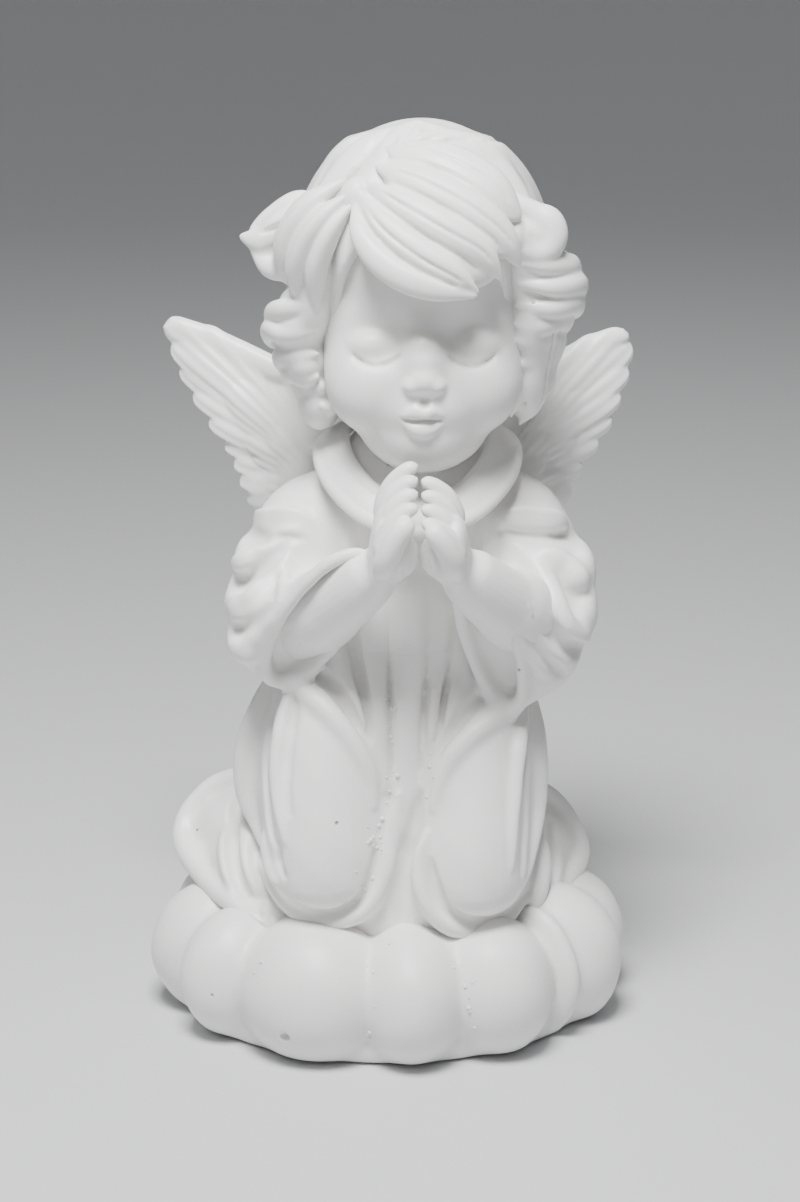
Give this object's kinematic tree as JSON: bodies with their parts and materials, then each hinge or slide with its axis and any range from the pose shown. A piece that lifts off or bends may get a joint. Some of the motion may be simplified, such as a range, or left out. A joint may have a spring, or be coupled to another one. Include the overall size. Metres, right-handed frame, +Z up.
{
  "type": "kneeling cherub statuette",
  "caption": "Small white cast-resin cherub with wings, kneeling in prayer on a round cloud base; stands on its flat underside.",
  "frame": {"origin": "middle of the statuette's footprint, on the plane that it stands on", "axes": "+Z up, the cherub faces -Y, +X is to the right of a viewer who faces it"},
  "size_m": [0.0657, 0.0538, 0.1202],
  "materials": {
    "cast_cloud": "white casting resin, satin, with small casting pits",
    "cast_robe": "white casting resin, satin, with faint casting grain",
    "cast_skin": "white casting resin, smooth satin",
    "cast_hair": "white casting resin, satin, with fine strand lines",
    "cast_wing": "white casting resin, satin, with fine feather lines"
  },
  "bodies": {
    "root": {"cloud_base": "cast_cloud", "robe_skirt": "cast_robe", "robe_bodice": "cast_robe", "collar": "cast_robe", "sleeve_left": "cast_robe", "sleeve_right": "cast_robe", "hand_left": "cast_skin", "hand_right": "cast_skin", "head": "cast_skin", "hair_cap": "cast_hair", "hair_fringe": "cast_hair", "hair_curls_left": "cast_hair", "hair_curls_right": "cast_hair", "wing_left": "cast_wing", "wing_right": "cast_wing"}
  },
  "joints": []
}
